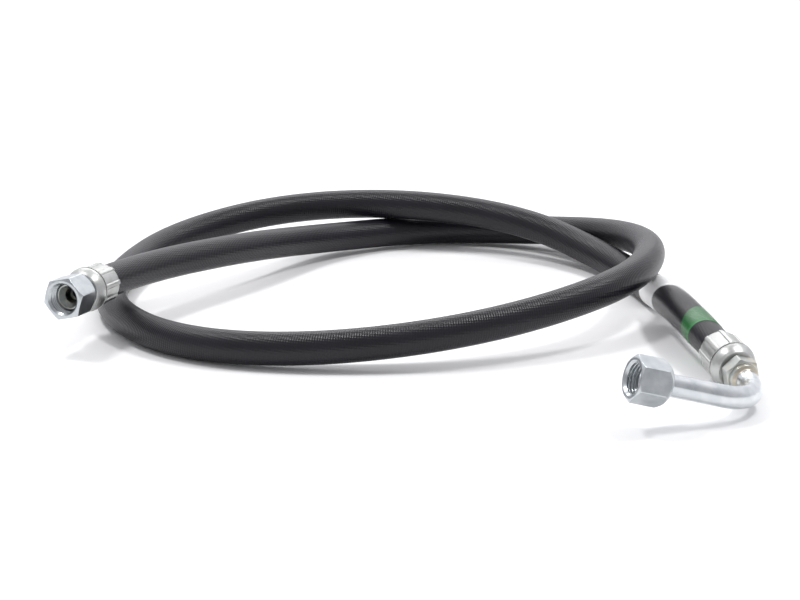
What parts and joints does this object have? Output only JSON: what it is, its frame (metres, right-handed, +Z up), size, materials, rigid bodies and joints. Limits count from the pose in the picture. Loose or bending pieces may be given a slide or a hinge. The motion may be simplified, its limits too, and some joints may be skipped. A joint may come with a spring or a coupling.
{
  "type": "hydraulic hose assembly",
  "caption": "Rubber hydraulic hose with crimped steel ends: a straight swivel nut on one end, a right-angle bent tube with a swivel nut on the other, lying in a loose loop.",
  "frame": {"origin": "on the surface that the assembly lies on, midway between its two end fittings", "axes": "+Z up, +Y from the end fittings towards the hose loop, +X from the straight fitting towards the elbow fitting"},
  "size_m": [0.3077, 0.3123, 0.0376],
  "materials": {
    "cover_rubber": "cloth-wrapped matt",
    "tube_rubber": "smooth",
    "separator_rubber": "smooth",
    "braid_wire": "brass-coated wire",
    "ferrule_zinc": "zinc-plated, crimped",
    "nut_zinc": "zinc-plated, turned hexagon bar",
    "nipple_zinc": "zinc-plated, turned",
    "tube_zinc": "zinc-plated, drawn tube",
    "spring_wire": "bright drawn wire",
    "braze_metal": "zinc-washed brazing",
    "label_film": "satin film",
    "band_film": "gloss film",
    "clear_film": "clear shrink film"
  },
  "bodies": {
    "hose": {"inner_tube": "tube_rubber", "inner_wire_braid": "braid_wire", "separator_layer": "separator_rubber", "outer_wire_braid": "braid_wire", "outer_cover": "cover_rubber", "left_ferrule": "ferrule_zinc", "left_nipple": "nipple_zinc", "left_thrust_wire": "spring_wire", "right_ferrule": "ferrule_zinc", "right_nipple": "nipple_zinc", "braze_ring": "braze_metal", "elbow_tube": "tube_zinc", "identity_label": "label_film", "clear_sleeve": "clear_film", "green_marker_band": "band_film"},
    "left_nut": {"left_swivel_nut": "nut_zinc"},
    "right_sleeve": {"flare_sleeve": "nipple_zinc"},
    "right_nut": {"right_swivel_nut": "nut_zinc"}
  },
  "joints": [
    {"name": "left_nut_spin", "type": "hinge", "parent": "hose", "child": "left_nut", "pos_m": [-0.14146, 0.04174, 0.02736], "axis": [-0.3466, -0.9363, 0.0572], "continuous": true},
    {"name": "right_sleeve_slide", "type": "slide", "parent": "hose", "child": "right_sleeve", "axis": [0.9192, 0.2773, -0.2796], "range_m": [0, 0.018]},
    {"name": "right_nut_spin", "type": "hinge", "parent": "right_sleeve", "child": "right_nut", "pos_m": [0.10431, -0.05861, 0.02029], "axis": [-0.9192, -0.2773, 0.2796], "continuous": true}
  ]
}
